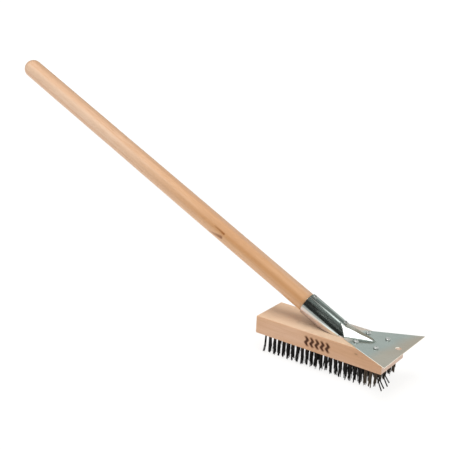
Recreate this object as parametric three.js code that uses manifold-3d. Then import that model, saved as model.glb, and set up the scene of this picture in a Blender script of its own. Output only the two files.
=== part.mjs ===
// Grill cleaning brush: a beech block with a field of flat-wire tufts, a stamped steel scraper
// whose socket holds a long ash handle, and the screws that hold them together.
//
// Frame, in millimetres: origin at the centre of the block's rear end face, +X along the block
// towards the scraper edge, +Y across the block, +Z up out of the block's top.
import * as THREE from "three";
import { mergeVertices } from "three/addons/utils/BufferGeometryUtils.js";
import Module from "manifold-3d";

const wasm = await Module();
wasm.setup();

// ---------- driving dimensions ----------
const CLEAR = 0.3; // gap around screws, anchor wires and other parts let into a hole
const SHEET = 1.2; // sheet steel of the scraper and its socket

// block
const BLOCK_L = 196;
const BLOCK_W = 63.5;
const BLOCK_T = 26;
const BLOCK_EASE = 1.2; // bevel along its edges
const TOP = BLOCK_T / 2;
const BOTTOM = -BLOCK_T / 2;

// handle and socket share one axis in the plane y = 0
const HANDLE_D = 28.575; // 1-1/8 in dowel
const HANDLE_R = HANDLE_D / 2;
const PITCH = 25.5; // degrees the handle rises above the block
const RIM = [61.9, 0, 39.3]; // centre of the socket's rear rim
const HANDLE_UP = 603; // rim to the handle's rounded end, along the axis
const HANDLE_IN = 62; // rim to the handle's lower end, inside the socket
const HANDLE_CHAMFER = 1; // at the lower end
const SOCKET_ID = 29.1;
const SOCKET_BORE_R = SOCKET_ID / 2;
const SOCKET_R = (SOCKET_ID + 2 * SHEET) / 2;
const SOCKET_REACH = 90; // longer than the socket: the crease's plane cuts it
const CREASE_X = 127.5; // a point on the crease where the socket's round part stops
const CREASE_Z = 20;
const CREASE_LEAN = 0.5; // the crease's plane leans back: x falls this much per mm of height
const SEAM = 1.4; // gap between the rolled sheet's edges, along the underside
const SCARF_Z = 1.0; // the socket is cut off level here, inside the block
const GROOVE_CLEAR = 0.35;

// blade
const BLADE_X0 = 130;
const BLADE_X1 = 212;
const BLADE_HALF0 = 17.7; // half widths at its rear and front
const BLADE_HALF1 = 59.2;
const HANG_HOLE_D = 8;
const HANG_HOLE = [201, 2];

// fasteners
const PLATE_SCREW = { headD: 7.2, headH: 2.4, shankD: 3.5, segments: 16 };
const PLATE_SCREW_IN = 12.5; // depth into the block
const PLATE_SCREW_HOLE_R = PLATE_SCREW.shankD / 2 + CLEAR;
// x, y, angle its cross recess stopped at
const PLATE_SCREWS = [
  [149.2, -17, 0.35],
  [149.2, 17, 0.9],
  [178.3, -17, 0.15],
  [178.3, 17, 0.6],
];
const SOCKET_SCREW = { headD: 6.4, headH: 2.2, shankD: 3.0, length: 11, segments: 16 };
const SOCKET_SCREW_HOLE_R = SOCKET_SCREW.shankD / 2 + CLEAR;
// along: distance from the rim, on the socket's top line
const SOCKET_SCREWS = [
  { name: "socket_screw_rear", along: 5, turn: 0.5 },
  { name: "socket_screw_front", along: 59.5, turn: 0.2 },
];
const SCREW_HOLE_SEGMENTS = 12;

// bristle field
const ROWS = 24; // rows across the block, one behind the other
const TUFTS = 5; // tufts in a row
const ROW_X0 = 14.4;
const ROW_PITCH = 7.48;
const TUFT_PITCH = 13;
const TUFT_SIDES = 6;
const TUFT_R = 2.2; // to its corners
const TUFT_FREE = 27; // length below the block
const HOLE_HALF = 2.5; // half side of a square tuft hole
const HOLE_DEPTH = 11;
const WIRE_H = 0.9; // side of the square anchor wire that ties a row's tufts together
const WIRE_Z = BOTTOM + (HOLE_DEPTH - WIRE_H / 2 - CLEAR); // of its centre
const WIRE_REACH = ((TUFTS - 1) / 2) * TUFT_PITCH; // half its length
const WIRE_CHANNEL_EXTRA = 0.5; // channel beyond each end of the wire

const rowX = (row) => ROW_X0 + row * ROW_PITCH;
const tuftY = (tuft) => (tuft - (TUFTS - 1) / 2) * TUFT_PITCH;

// ---------- materials ----------
const standard = (color, roughness, metalness) =>
  new THREE.MeshStandardMaterial({ color, roughness, metalness });
const MATERIALS = {
  //                 colour,   roughness, metalness
  beech: standard(0xdcb28c, 0.62, 0),
  ash: standard(0xdca672, 0.45, 0),
  galvanised: standard(0xa9b2ac, 0.28, 0.95),
  zinc: standard(0xc4c8c6, 0.25, 0.95),
  springWire: standard(0x24211f, 0.5, 0.7),
};

// ---------- helpers ----------
// A closed geometry as a solid that can be joined and cut.
function solid(geometry, matrix) {
  const bare = geometry.index ? geometry.toNonIndexed() : geometry.clone();
  bare.deleteAttribute("normal");
  bare.deleteAttribute("uv");
  if (matrix) bare.applyMatrix4(matrix);
  const merged = mergeVertices(bare, 1e-4);
  return new wasm.Manifold(
    new wasm.Mesh({
      numProp: 3,
      vertProperties: new Float32Array(merged.attributes.position.array),
      triVerts: new Uint32Array(merged.index.array),
    }),
  );
}

// A solid back as a geometry.
function geometryOf(body) {
  const { numVert, numProp, vertProperties, triVerts } = body
    .asOriginal()
    .simplify(1e-3)
    .getMesh();
  const positions = new Float32Array(numVert * 3);
  for (let i = 0; i < numVert; i++)
    positions.set(vertProperties.subarray(i * numProp, i * numProp + 3), i * 3);
  const geometry = new THREE.BufferGeometry();
  geometry.setAttribute("position", new THREE.BufferAttribute(positions, 3));
  geometry.setIndex(new THREE.BufferAttribute(new Uint32Array(triVerts), 1));
  geometry.computeVertexNormals();
  return geometry;
}

function mesh(name, geometry, material) {
  const result = new THREE.Mesh(geometry, material);
  result.name = name;
  return result;
}

const moved = (x, y, z) => new THREE.Matrix4().makeTranslation(x, y, z);
const around = (centre, half) => [centre - half, centre + half];

// A box from its ranges. Boxes used as cutters overshoot the piece on their free sides.
function box([x0, x1], [y0, y1], [z0, z1], matrix = new THREE.Matrix4()) {
  const centre = moved((x0 + x1) / 2, (y0 + y1) / 2, (z0 + z1) / 2);
  return solid(new THREE.BoxGeometry(x1 - x0, y1 - y0, z1 - z0), matrix.clone().multiply(centre));
}

// Bodies of revolution about +X and +Z. profile: [radius, place along the axis] pairs.
const revolved = (profile, segments) =>
  new THREE.LatheGeometry(
    profile.map(([radius, along]) => new THREE.Vector2(radius, along)),
    segments,
  );
const turned = (profile, segments) => revolved(profile, segments).rotateZ(-Math.PI / 2);
const turnedUp = (profile, segments) => revolved(profile, segments).rotateX(Math.PI / 2);
const rodProfile = (radius, from, to) => [[0, from], [radius, from], [radius, to], [0, to]];

// A cutter for a hole through sheet, along local Z and centred on the matrix's origin.
const punch = (radius, height, segments, matrix) =>
  solid(new THREE.CylinderGeometry(radius, radius, height, segments).rotateX(Math.PI / 2), matrix);

// A cutter for a screw's pilot hole along local Z.
const pilot = (radius, from, to, matrix) =>
  solid(turnedUp(rodProfile(radius, from, to), SCREW_HOLE_SEGMENTS), matrix);

// A solid through rings of equally many points, each anticlockwise seen from the last ring's side.
function loft(rings) {
  const first = rings[0];
  const last = rings[rings.length - 1];
  const count = first.length;
  const points = [];
  for (let i = 0; i + 1 < rings.length; i++)
    for (let j = 0; j < count; j++) {
      const k = (j + 1) % count;
      const [a, b, c, d] = [rings[i][j], rings[i][k], rings[i + 1][k], rings[i + 1][j]];
      points.push(...a, ...b, ...c, ...a, ...c, ...d);
    }
  for (let j = 1; j + 1 < count; j++) {
    points.push(...first[0], ...first[j + 1], ...first[j]);
    points.push(...last[0], ...last[j], ...last[j + 1]);
  }
  const geometry = new THREE.BufferGeometry();
  geometry.setAttribute("position", new THREE.BufferAttribute(new Float32Array(points), 3));
  return solid(geometry);
}

function extruded(outline, options, matrix) {
  const shape = new THREE.Shape(outline.map(([x, y]) => new THREE.Vector2(x, y)));
  shape.closePath();
  return solid(new THREE.ExtrudeGeometry(shape, { steps: 1, ...options }), matrix);
}

// ---------- handle frame ----------
// Local +X runs down the axis into the block, local +Z is the upper side.
const handleFrame = new THREE.Group();
handleFrame.position.set(...RIM);
handleFrame.rotation.y = (PITCH * Math.PI) / 180;
handleFrame.updateMatrix();
const axisMatrix = handleFrame.matrix.clone();
const axisInverse = axisMatrix.clone().invert();

// ---------- handle: a dowel with a hemispherical upper end ----------
function makeHandle() {
  const domeSteps = 6;
  const pilotExtra = 1; // depth beyond the screw's length
  const dome = [];
  for (let i = 0; i <= domeSteps; i++) {
    const angle = (i / domeSteps) * (Math.PI / 2);
    dome.push([HANDLE_R * Math.sin(angle), -HANDLE_UP + HANDLE_R * (1 - Math.cos(angle))]);
  }
  const lowerEnd = [
    [HANDLE_R, HANDLE_IN - HANDLE_CHAMFER],
    [HANDLE_R - HANDLE_CHAMFER, HANDLE_IN],
    [0, HANDLE_IN],
  ];
  let handle = solid(turned([...dome, ...lowerEnd], 32));
  // level scarf inside the block, just above the socket's
  handle = handle.subtract(box([40, 220], [-40, 40], [-80, SCARF_Z + CLEAR], axisInverse));
  const pilotEnd = HANDLE_R - SOCKET_SCREW.length - pilotExtra;
  for (const { along } of SOCKET_SCREWS)
    handle = handle.subtract(
      pilot(SOCKET_SCREW_HOLE_R, pilotEnd, HANDLE_R + 3, moved(along, 0, 0)),
    );
  return mesh("handle", geometryOf(handle), MATERIALS.ash);
}

// ---------- scraper with its socket: one sheet, rolled and stamped ----------
const crease = new THREE.Group();
crease.position.set(CREASE_X, 0, CREASE_Z);
crease.rotation.y = -Math.atan(CREASE_LEAN);
crease.updateMatrix();

// Cutters for all that lies behind or ahead of the crease's plane, shifted along its normal.
const behindCrease = (shift) => box([-200, shift], [-80, 80], [-160, 160], crease.matrix);
const aheadOfCrease = (shift) => box([shift, 200], [-80, 80], [-160, 160], crease.matrix);

// Ridge: the tapering bulge from the socket's end down to the flat blade. Two flat flanks stand
// under a gently rounded cap. The crest falls as a square root, so the nose is blunt.
const RIDGE = {
  x0: CREASE_X,
  x1: 169.5, // its point
  height: 11.3, // crest above the blade's top face, at x0
  rearRise: 0.46, // rise of the crest per mm behind x0
  half: 15.8, // half width at x0
  taper: 0.3955, // loss of half width per mm, up to taperEnd
  taperEnd: 150,
  nosePower: 0.85, // shape of the plan outline from taperEnd to the point
  flank: 1.12, // least rise of the flanks per mm across
  flankOverCap: 1.04, // flanks, run on to the middle, reach at least this times the crest
  capCurve: 0.035, // fall of the cap, times the square of the distance from the middle
  blend: 1, // softening where cap and flank meet
  blendShare: 0.3, // its limit as a share of the crest's height
  sideInset: 1.45, // loss of half width per mm of inset
  minHalf: 0.3,
  minHeight: 0.12,
  footDrop: 0.05, // the feet lie this much below the blade's top face
  stations: 9,
  stationPower: 1.35, // draws the stations together towards the nose
  across: 12,
};

function ridgeHalf(x) {
  if (x < RIDGE.taperEnd) return RIDGE.half - RIDGE.taper * (x - RIDGE.x0);
  const halfAtTaperEnd = RIDGE.half - RIDGE.taper * (RIDGE.taperEnd - RIDGE.x0);
  return halfAtTaperEnd * ((RIDGE.x1 - x) / (RIDGE.x1 - RIDGE.taperEnd)) ** RIDGE.nosePower;
}

function ridgeCrest(x) {
  if (x < RIDGE.x0) return RIDGE.height + (RIDGE.x0 - x) * RIDGE.rearRise;
  return RIDGE.height * Math.sqrt((RIDGE.x1 - x) / (RIDGE.x1 - RIDGE.x0));
}

// One cross-section, from the +Y foot over the crest to the -Y foot and back along the base.
function ridgeRing(x, inset, base) {
  const half = Math.max(RIDGE.minHalf, ridgeHalf(x) - inset * RIDGE.sideInset);
  const height = Math.max(RIDGE.minHeight, ridgeCrest(x) - inset);
  const slope = Math.max(RIDGE.flank, (RIDGE.flankOverCap * height) / half);
  const blend = Math.min(RIDGE.blend, height * RIDGE.blendShare);
  const ring = [];
  for (let j = 0; j <= RIDGE.across; j++) {
    const y = Math.cos((j / RIDGE.across) * Math.PI) * half;
    const cap = height - RIDGE.capCurve * y * y;
    const flank = (half - Math.abs(y)) * slope;
    const z = Math.max(0, (cap + flank - Math.hypot(cap - flank, blend)) / 2);
    const drop = j === 0 || j === RIDGE.across ? RIDGE.footDrop : 0;
    ring.push([x, y, TOP + SHEET + z - drop]);
  }
  ring.push([x, -half, base], [x, half, base]);
  return ring;
}

function ridge(inset, from, to, base) {
  const rings = [];
  for (let i = 0; i <= RIDGE.stations; i++) {
    const share = 1 - (1 - i / RIDGE.stations) ** RIDGE.stationPower;
    rings.push(ridgeRing(from + (to - from) * share, inset, base));
  }
  return loft(rings);
}

function makeBlade() {
  const cornerX = BLADE_X0 + 1.4; // the rear corners are cut off obliquely
  const side = [
    [BLADE_X0, BLADE_HALF0 - 2],
    [cornerX, BLADE_HALF0 + 0.75],
    [BLADE_X1, BLADE_HALF1],
  ];
  const outline = [...side.map(([x, y]) => [x, -y]), ...side.toReversed()];
  return extruded(outline, { depth: SHEET, bevelEnabled: false }, moved(0, 0, TOP));
}

function makeScraper() {
  const tube = solid(turned(rodProfile(SOCKET_R, 0, SOCKET_REACH), 36), axisMatrix);
  const bore = solid(turned(rodProfile(SOCKET_BORE_R, -2, SOCKET_REACH), 36), axisMatrix);
  const ridgeOuter = ridge(0, 121, RIDGE.x1 - 0.4, TOP).subtract(behindCrease(-0.4));
  const ridgeInner = ridge(SHEET, 120, RIDGE.x1 - 3.2, TOP - 1).subtract(behindCrease(-SHEET));

  let scraper = tube
    .subtract(aheadOfCrease(0))
    .add(makeBlade())
    .add(ridgeOuter)
    .subtract(bore.subtract(aheadOfCrease(-SHEET * 0.3)))
    .subtract(ridgeInner);
  const cutters = [
    // socket's scarfed lower end
    box([20, 160], [-60, 60], [-60, SCARF_Z]),
    // seam
    box([-5, SOCKET_REACH], around(0, SEAM / 2), [-SOCKET_R - 4, -8], axisMatrix),
    // anything below the block's top plane ahead of the socket's end
    box([CREASE_X + 0.02, 175], [-60, 60], [-30, TOP]),
    ...PLATE_SCREWS.map(([x, y]) =>
      punch(PLATE_SCREW_HOLE_R, 6, SCREW_HOLE_SEGMENTS, moved(x, y, TOP)),
    ),
    punch(HANG_HOLE_D / 2, 6, 24, moved(...HANG_HOLE, TOP)),
    ...SOCKET_SCREWS.map(({ along }) => {
      const matrix = axisMatrix.clone().multiply(moved(along, 0, SOCKET_R));
      return punch(SOCKET_SCREW_HOLE_R, 8, SCREW_HOLE_SEGMENTS, matrix);
    }),
  ];
  for (const cutter of cutters) scraper = scraper.subtract(cutter);
  // slivers left where the socket's wall runs out are dropped
  const [largest] = scraper.decompose().sort((a, b) => b.volume() - a.volume());
  return mesh("scraper_socket", geometryOf(largest), MATERIALS.galvanised);
}

// ---------- block ----------
function makeBlank() {
  const ease = BLOCK_EASE;
  const half = BLOCK_W / 2 - ease;
  const length = BLOCK_L - 2 * ease;
  const side = [
    [0, half - ease],
    [ease, half],
    [length - ease, half],
    [length, half - ease],
  ];
  const outline = [...side.map(([x, y]) => [x, -y]), ...side.toReversed()];
  const options = {
    depth: BLOCK_T - 2 * ease,
    bevelEnabled: true,
    bevelSegments: 1,
    bevelSize: ease,
    bevelThickness: ease,
  };
  return extruded(outline, options, moved(ease, 0, BOTTOM + ease));
}

function makeBlock() {
  // inclined groove that takes the socket's lower half
  const grooveProfile = rodProfile(SOCKET_R + GROOVE_CLEAR, -60, SOCKET_REACH);
  const groove = solid(turned(grooveProfile, 36), axisMatrix).intersect(
    box([0, CREASE_X + 0.4], [-60, 60], [SCARF_Z - GROOVE_CLEAR, TOP + 80]),
  );
  let block = makeBlank().subtract(groove);
  const pilotEnd = TOP - PLATE_SCREW_IN - 0.5;
  for (const [x, y] of PLATE_SCREWS)
    block = block.subtract(pilot(PLATE_SCREW_HOLE_R, pilotEnd, TOP + 2, moved(x, y, 0)));
  // tuft holes, with the thin channel of each row's anchor wire
  const channelHalf = WIRE_H / 2 + CLEAR;
  const channelY = around(0, WIRE_REACH + WIRE_CHANNEL_EXTRA);
  for (let row = 0; row < ROWS; row++) {
    const x = rowX(row);
    for (let tuft = 0; tuft < TUFTS; tuft++) {
      const holeY = around(tuftY(tuft), HOLE_HALF);
      block = block.subtract(
        box(around(x, HOLE_HALF), holeY, [BOTTOM - 3, BOTTOM + HOLE_DEPTH]),
      );
    }
    block = block.subtract(
      box(around(x, channelHalf), channelY, around(WIRE_Z, channelHalf)),
    );
  }
  return mesh("brush_block", geometryOf(block), MATERIALS.beech);
}

// ---------- bristle rows: tufts of flat spring wire and the anchor wire through them ----------
function makeTuft(centreY) {
  const ring = (z) =>
    Array.from({ length: TUFT_SIDES }, (_, i) => {
      const angle = (i / TUFT_SIDES) * 2 * Math.PI;
      return [TUFT_R * Math.cos(angle), centreY + TUFT_R * Math.sin(angle), z];
    });
  return loft([ring(BOTTOM - TUFT_FREE), ring(BOTTOM + (HOLE_DEPTH - CLEAR))]);
}

function makeBristles() {
  let row = makeTuft(tuftY(0));
  for (let tuft = 1; tuft < TUFTS; tuft++) row = row.add(makeTuft(tuftY(tuft)));
  row = row.add(box(around(0, WIRE_H / 2), around(0, WIRE_REACH), around(WIRE_Z, WIRE_H / 2)));
  const geometry = geometryOf(row);
  const bristles = new THREE.Group();
  for (let i = 0; i < ROWS; i++) {
    const name = "bristle_row_" + String(i + 1).padStart(2, "0");
    const rowMesh = mesh(name, geometry, MATERIALS.springWire);
    rowMesh.position.x = rowX(i);
    bristles.add(rowMesh);
  }
  return bristles;
}

// ---------- screws ----------
// A pan-head screw standing on +Z, its head bedded just above z = 0, with a cross recess.
function screwGeometry({ headD, headH, shankD, length, segments }) {
  const bed = 0.05; // height of the head's underside
  const headR = headD / 2;
  const profile = [
    [0, -length],
    [shankD / 2, -length + shankD * 0.8],
    [shankD / 2, bed],
    [headR, bed],
    [headR, headH * 0.3],
    [headR * 0.9, headH * 0.66],
    [headR * 0.62, headH * 0.92],
    [0, headH],
  ];
  const arm = around(0, headR * 0.5);
  const slot = around(0, 0.42);
  const recess = [headH * 0.45, headH + 1];
  return geometryOf(
    solid(turnedUp(profile, segments))
      .subtract(box(arm, slot, recess))
      .subtract(box(slot, arm, recess)),
  );
}

function makePlateScrews() {
  const geometry = screwGeometry({ ...PLATE_SCREW, length: SHEET + PLATE_SCREW_IN - 0.4 });
  return PLATE_SCREWS.map(([x, y, turn], i) => {
    const screw = mesh("plate_screw_" + (i + 1), geometry, MATERIALS.zinc);
    screw.position.set(x, y, TOP + SHEET);
    screw.rotation.z = turn;
    return screw;
  });
}

// In the handle's frame: they go down through the socket's top line into the handle.
function makeSocketScrews() {
  const geometry = screwGeometry(SOCKET_SCREW);
  return SOCKET_SCREWS.map(({ name, along, turn }) => {
    const screw = mesh(name, geometry, MATERIALS.zinc);
    screw.position.set(along, 0, SOCKET_R + 0.02);
    screw.rotation.z = turn;
    return screw;
  });
}

// ---------- assembly ----------
handleFrame.add(makeHandle(), ...makeSocketScrews());
const group = new THREE.Group();
group.add(makeBlock(), makeScraper(), handleFrame, makeBristles(), ...makePlateScrews());
export default group;
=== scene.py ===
"""A wire scrubbing brush: a beech block with rows of flat steel wires, a round ash handle and a
sheet-steel scraper whose socket holds the handle.

The block lies along +X with its rear end at x = 0, centred on y = 0 and z = 0. The wires point
down. The scraper's edge is at the front (+X), the handle rises to the rear (-X), and the camera
looks from the near side (-Y). Meshes are built in millimetres and scaled to metres at the end.
"""

import math
import random

import bmesh
import bpy
import numpy as np
from mathutils import Matrix, Vector


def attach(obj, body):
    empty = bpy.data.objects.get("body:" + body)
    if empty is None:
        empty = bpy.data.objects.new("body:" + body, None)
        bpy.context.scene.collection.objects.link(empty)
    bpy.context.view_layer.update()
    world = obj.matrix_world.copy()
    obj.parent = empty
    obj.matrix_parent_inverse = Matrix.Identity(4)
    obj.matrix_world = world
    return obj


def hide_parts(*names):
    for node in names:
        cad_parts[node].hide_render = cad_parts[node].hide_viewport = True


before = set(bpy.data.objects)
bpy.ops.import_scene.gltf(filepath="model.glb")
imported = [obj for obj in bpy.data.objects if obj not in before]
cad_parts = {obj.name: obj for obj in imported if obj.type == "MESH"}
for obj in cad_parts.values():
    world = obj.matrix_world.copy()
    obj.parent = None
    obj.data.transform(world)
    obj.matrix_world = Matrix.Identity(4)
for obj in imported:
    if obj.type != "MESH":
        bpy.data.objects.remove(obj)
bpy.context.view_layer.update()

SCENE = bpy.context.scene
MM = 0.001
rng = random.Random(20731)

# ------------------------------------------------------------------ sizes, in millimetres
TOP = 13.0
BOTTOM = -TOP
BLOCK_LENGTH, BLOCK_WIDTH = 196.0, 63.5
WIRE_END = -40.0  # the floor lies just below

# the handle's axis passes through RIM, the centre of the socket's open end
PITCH = math.radians(25.5)
RIM = np.array([61.9, 0.0, 39.3])
AXIS = np.array([math.cos(PITCH), 0.0, -math.sin(PITCH)])  # down the handle, into the block
UP = np.array([math.sin(PITCH), 0.0, math.cos(PITCH)])  # square to the handle, in the plane y = 0
ACROSS = np.array([0.0, 1.0, 0.0])
HANDLE_R = 28.575 / 2
HANDLE_OUT, HANDLE_IN = 603.0, 62.0  # lengths above and below RIM

SHEET = 1.2
BLADE_TOP = TOP + SHEET
SOCKET_R = 15.75
SOCKET_BORE = SOCKET_R - SHEET
# the socket meets the blade at the plane x = CREASE_X + CREASE_LEAN * (CREASE_Z - z)
CREASE_X, CREASE_Z, CREASE_LEAN = 127.5, 20.0, 0.5

# rows of tufts: row 1 is at the rear
ROWS, TUFTS = 24, 5
ROW_X0, ROW_PITCH, TUFT_PITCH = 14.4, 7.48, 13.0

# x, y, tilt in x, tilt in y, turn of the cross (radians)
PLATE_SCREWS = [
    (149.2, -17.0, 0.02, -0.015, 0.35), (149.2, 17.0, -0.02, 0.01, 0.9),
    (178.3, -17.0, 0.0, 0.02, 0.15), (178.3, 17.0, 0.015, 0.0, 0.6),
]
# piece, distance down the axis, turn of the cross (radians)
SOCKET_SCREWS = [("socket_screw_rear", 5.0, 0.5), ("socket_screw_front", 59.5, 0.2)]

# burnt strokes on the near side: wavy, upright and evenly spaced along x
MARKS, MARK_X0, MARK_PITCH = 5, 83.0, 8.1
MARK_Z, MARK_HALF = 0.0, 6.2  # middle and half height
MARK_SWING, MARK_WAVE = 1.25, 9.0  # sideways swing and its wavelength in z
MARK_R = 1.95  # half width


# ------------------------------------------------------------------ mesh helpers
# A shell is a pair (vertices, faces).
def make(name, shell, *materials):
    verts, faces = shell
    mesh = bpy.data.meshes.new(name)
    mesh.from_pydata([tuple(map(float, vert)) for vert in verts], [], faces)
    mesh.validate()
    ob = bpy.data.objects.new(name, mesh)
    SCENE.collection.objects.link(ob)
    for mat in materials:
        mesh.materials.append(mat)
    return ob


def solid(name, shell, *materials):
    """An object from a closed shell, with its faces turned outward."""
    ob = make(name, shell, *materials)
    bm = bmesh.new()
    bm.from_mesh(ob.data)
    bmesh.ops.recalc_face_normals(bm, faces=bm.faces)
    if bm.calc_volume(signed=True) < 0:
        bmesh.ops.reverse_faces(bm, faces=bm.faces)
    bm.to_mesh(ob.data)
    bm.free()
    return ob


def apply_modifiers(ob):
    depsgraph = bpy.context.evaluated_depsgraph_get()
    mesh = bpy.data.meshes.new_from_object(ob.evaluated_get(depsgraph), depsgraph=depsgraph)
    ob.modifiers.clear()
    ob.data = mesh


def boolean(ob, other, operation="DIFFERENCE"):
    """Combines ob with other, and removes other."""
    modifier = ob.modifiers.new("cut", "BOOLEAN")
    modifier.operation, modifier.solver, modifier.object = operation, "EXACT", other
    modifier.material_mode = "TRANSFER"
    apply_modifiers(ob)
    bpy.data.objects.remove(other)


def only_material(ob, mat):
    """Clears the empty slots that cutters without a material leave behind."""
    ob.data.materials.clear()
    ob.data.materials.append(mat)


def box(x_range, y_range, z_range):
    verts = [(x, y, z) for x in x_range for y in y_range for z in z_range]
    faces = [(0, 1, 3, 2), (4, 6, 7, 5), (0, 4, 5, 1), (2, 3, 7, 6), (0, 2, 6, 4), (1, 5, 7, 3)]
    return solid("cutter", (verts, faces))


def joined(shells):
    """Separate closed shells put into one."""
    verts, faces = [], []
    for more_verts, more_faces in shells:
        start = len(verts)
        verts += list(more_verts)
        faces += [tuple(i + start for i in face) for face in more_faces]
    return verts, faces


def prism(outline, first_end, second_end):
    """A closed prism; the two functions place the outline's points at either end."""
    n = len(outline)
    verts = [first_end(point) for point in outline] + [second_end(point) for point in outline]
    faces = [tuple(range(n)), tuple(range(2 * n - 1, n - 1, -1))]
    faces += [(i, i + n, (i + 1) % n + n, (i + 1) % n) for i in range(n)]
    return verts, faces


def turned(profile, at, axis, side, segments):
    """Closed body of revolution. profile: (distance along axis, radius), from axis to axis."""
    at, axis, side = (np.array(vector, float) for vector in (at, axis, side))
    third = np.cross(axis, side)
    verts, rings = [], []
    for distance, radius in profile:
        centre = at + axis * distance
        if radius < 1e-9:
            rings.append([len(verts)])
            verts.append(centre)
            continue
        rings.append(list(range(len(verts), len(verts) + segments)))
        for k in range(segments):
            angle = 2 * math.pi * k / segments
            verts.append(centre + radius * (math.cos(angle) * side + math.sin(angle) * third))
    faces = []
    for ring, after in zip(rings, rings[1:]):
        for k in range(segments):
            j = (k + 1) % segments
            if len(ring) == 1:
                faces.append((ring[0], after[j], after[k]))
            elif len(after) == 1:
                faces.append((ring[k], ring[j], after[0]))
            else:
                faces.append((ring[k], ring[j], after[j], after[k]))
    return verts, faces


def rod(radius, start, end, at, axis, side, segments):
    profile = [(start, 0), (start, radius), (end, radius), (end, 0)]
    return turned(profile, at, axis, side, segments)


def upright_hole(x, y, z0, z1, radius, segments):
    return rod(radius, 0, z1 - z0, (x, y, z0), (0, 0, 1), (1, 0, 0), segments)


def finish(ob, angle, local=None, loose_wires=False):
    """Cleans the mesh, stores millimetre positions for the materials and scales to metres.

    Edges sharper than angle (degrees) stay sharp. Wires aren't merged or given weighted normals.
    """
    bm = bmesh.new()
    bm.from_mesh(ob.data)
    if not loose_wires:
        bmesh.ops.remove_doubles(bm, verts=bm.verts, dist=1e-4)
        bmesh.ops.dissolve_degenerate(bm, edges=bm.edges, dist=1e-4)
    stray = [vert for vert in bm.verts if not vert.link_faces]
    bmesh.ops.delete(bm, geom=stray, context="VERTS")
    bm.to_mesh(ob.data)
    bm.free()
    mesh = ob.data
    points = np.zeros(len(mesh.vertices) * 3, np.float32)
    mesh.vertices.foreach_get("co", points)
    points = points.reshape(-1, 3)
    if local is not None:
        points = local(points)
    stored = mesh.attributes.new("grain_mm", "FLOAT_VECTOR", "POINT")
    stored.data.foreach_set("vector", np.ascontiguousarray(points, np.float32).ravel())
    mesh.transform(Matrix.Scale(MM, 4))
    mesh.shade_smooth()
    mesh.set_sharp_from_angle(angle=math.radians(angle))
    if not loose_wires:
        modifier = ob.modifiers.new("normals", "WEIGHTED_NORMAL")
        modifier.keep_sharp, modifier.weight, modifier.mode = True, 80, "FACE_AREA"
        apply_modifiers(ob)


def place(ob, piece):
    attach(ob, "root")
    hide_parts(piece)


# ------------------------------------------------------------------ node helpers
class Graph:
    """Fills a node tree."""

    def __init__(self, tree):
        self.tree = tree
        tree.nodes.clear()

    def node(self, kind, inputs=(), **settings):
        node = self.tree.nodes.new("ShaderNode" + kind)
        for name, value in settings.items():
            setattr(node, name, value)
        self.feed(node, inputs)
        return node

    def feed(self, node, inputs):
        """inputs: a dict by socket name or index, or a sequence in socket order."""
        for key, value in inputs.items() if isinstance(inputs, dict) else enumerate(inputs):
            socket = node.inputs[key]
            if isinstance(value, Value):
                value = value.socket
            if isinstance(value, bpy.types.NodeSocket):
                self.tree.links.new(value, socket)
            elif isinstance(value, tuple):  # a colour
                socket.default_value = (*value, 1.0)
            else:
                socket.default_value = float(value)

    def math(self, operation, *inputs, clamp=False):
        node = self.node("Math", inputs, operation=operation, use_clamp=clamp)
        return Value(self, node.outputs[0])

    def split(self, vector):
        return [Value(self, out) for out in self.node("SeparateXYZ", [vector]).outputs]

    def attribute(self, name, output):
        return self.node("Attribute", attribute_name=name).outputs[output]

    def geometry(self, output):
        return self.split(self.node("NewGeometry").outputs[output])

    def noise(self, vector, scale=1, detail=2, rough=0.5):
        inputs = {"Vector": vector, "Scale": scale, "Detail": detail, "Roughness": rough}
        return Value(self, self.node("TexNoise", inputs).outputs[0])


def sign(operation):
    return lambda self, *others: self.graph.math(operation, self, *others)


class Value:
    """A number in a node tree, with the usual signs."""

    def __init__(self, graph, socket):
        self.graph, self.socket = graph, socket

    __add__, __sub__, __mul__, __truediv__ = map(sign, ("ADD", "SUBTRACT", "MULTIPLY", "DIVIDE"))
    abs, sqrt, sin, floor = map(sign, ("ABSOLUTE", "SQRT", "SINE", "FLOOR"))
    power, most, arctan2 = map(sign, ("POWER", "MAXIMUM", "ARCTAN2"))

    def __rsub__(self, other):
        return self.graph.math("SUBTRACT", other, self)

    def clamp(self):
        return self.graph.math("ADD", self, 0, clamp=True)

    def mask(self, off, on, low=0, high=1):
        """Smooth step: low where this number is at off, high where it is at on."""
        inputs = (self, off, on, low, high)
        node = self.graph.node("MapRange", inputs, interpolation_type="SMOOTHSTEP")
        return Value(self.graph, node.outputs[0])


def combined(x, y, z):
    return x.graph.node("CombineXYZ", (x, y, z)).outputs[0]


def length(u, v):
    """Length of a vector of two numbers."""
    return (u * u + v * v).sqrt()


def grain(point, per_mm, detail=2, rough=0.5, shift=0):
    """Noise with its own frequency along each axis; shift moves it along the first."""
    axes = [
        axis if rate == 1 else axis * rate if rate else 0
        for axis, rate in zip(point, per_mm)
    ]
    if shift:
        axes[0] = axes[0] + shift
    return point[0].graph.noise(combined(*axes), detail=detail, rough=rough)


def waves(distance, spacing):
    """A sine wave from 0 to 1, for growth rings."""
    return (distance * (2 * math.pi / spacing)).sin() * 0.5 + 0.5


def mix(mask, base, colour):
    inputs = {0: mask, 6: base, 7: colour}
    return mask.graph.node("Mix", inputs, data_type="RGBA", blend_type="MIX").outputs[2]


def bump(height, distance, strength, normal=None):
    inputs = {"Strength": strength, "Distance": distance, "Height": height}
    if normal is not None:
        inputs["Normal"] = normal
    return height.graph.node("Bump", inputs).outputs["Normal"]


class Paint:
    """A colour built up in layers, over a mix of two base colours."""

    def __init__(self, mask, first, second):
        self.colour = mix(mask, first, second)

    def layer(self, mask, colour, amount=None):
        self.colour = mix(mask if amount is None else mask * amount, self.colour, colour)


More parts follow.
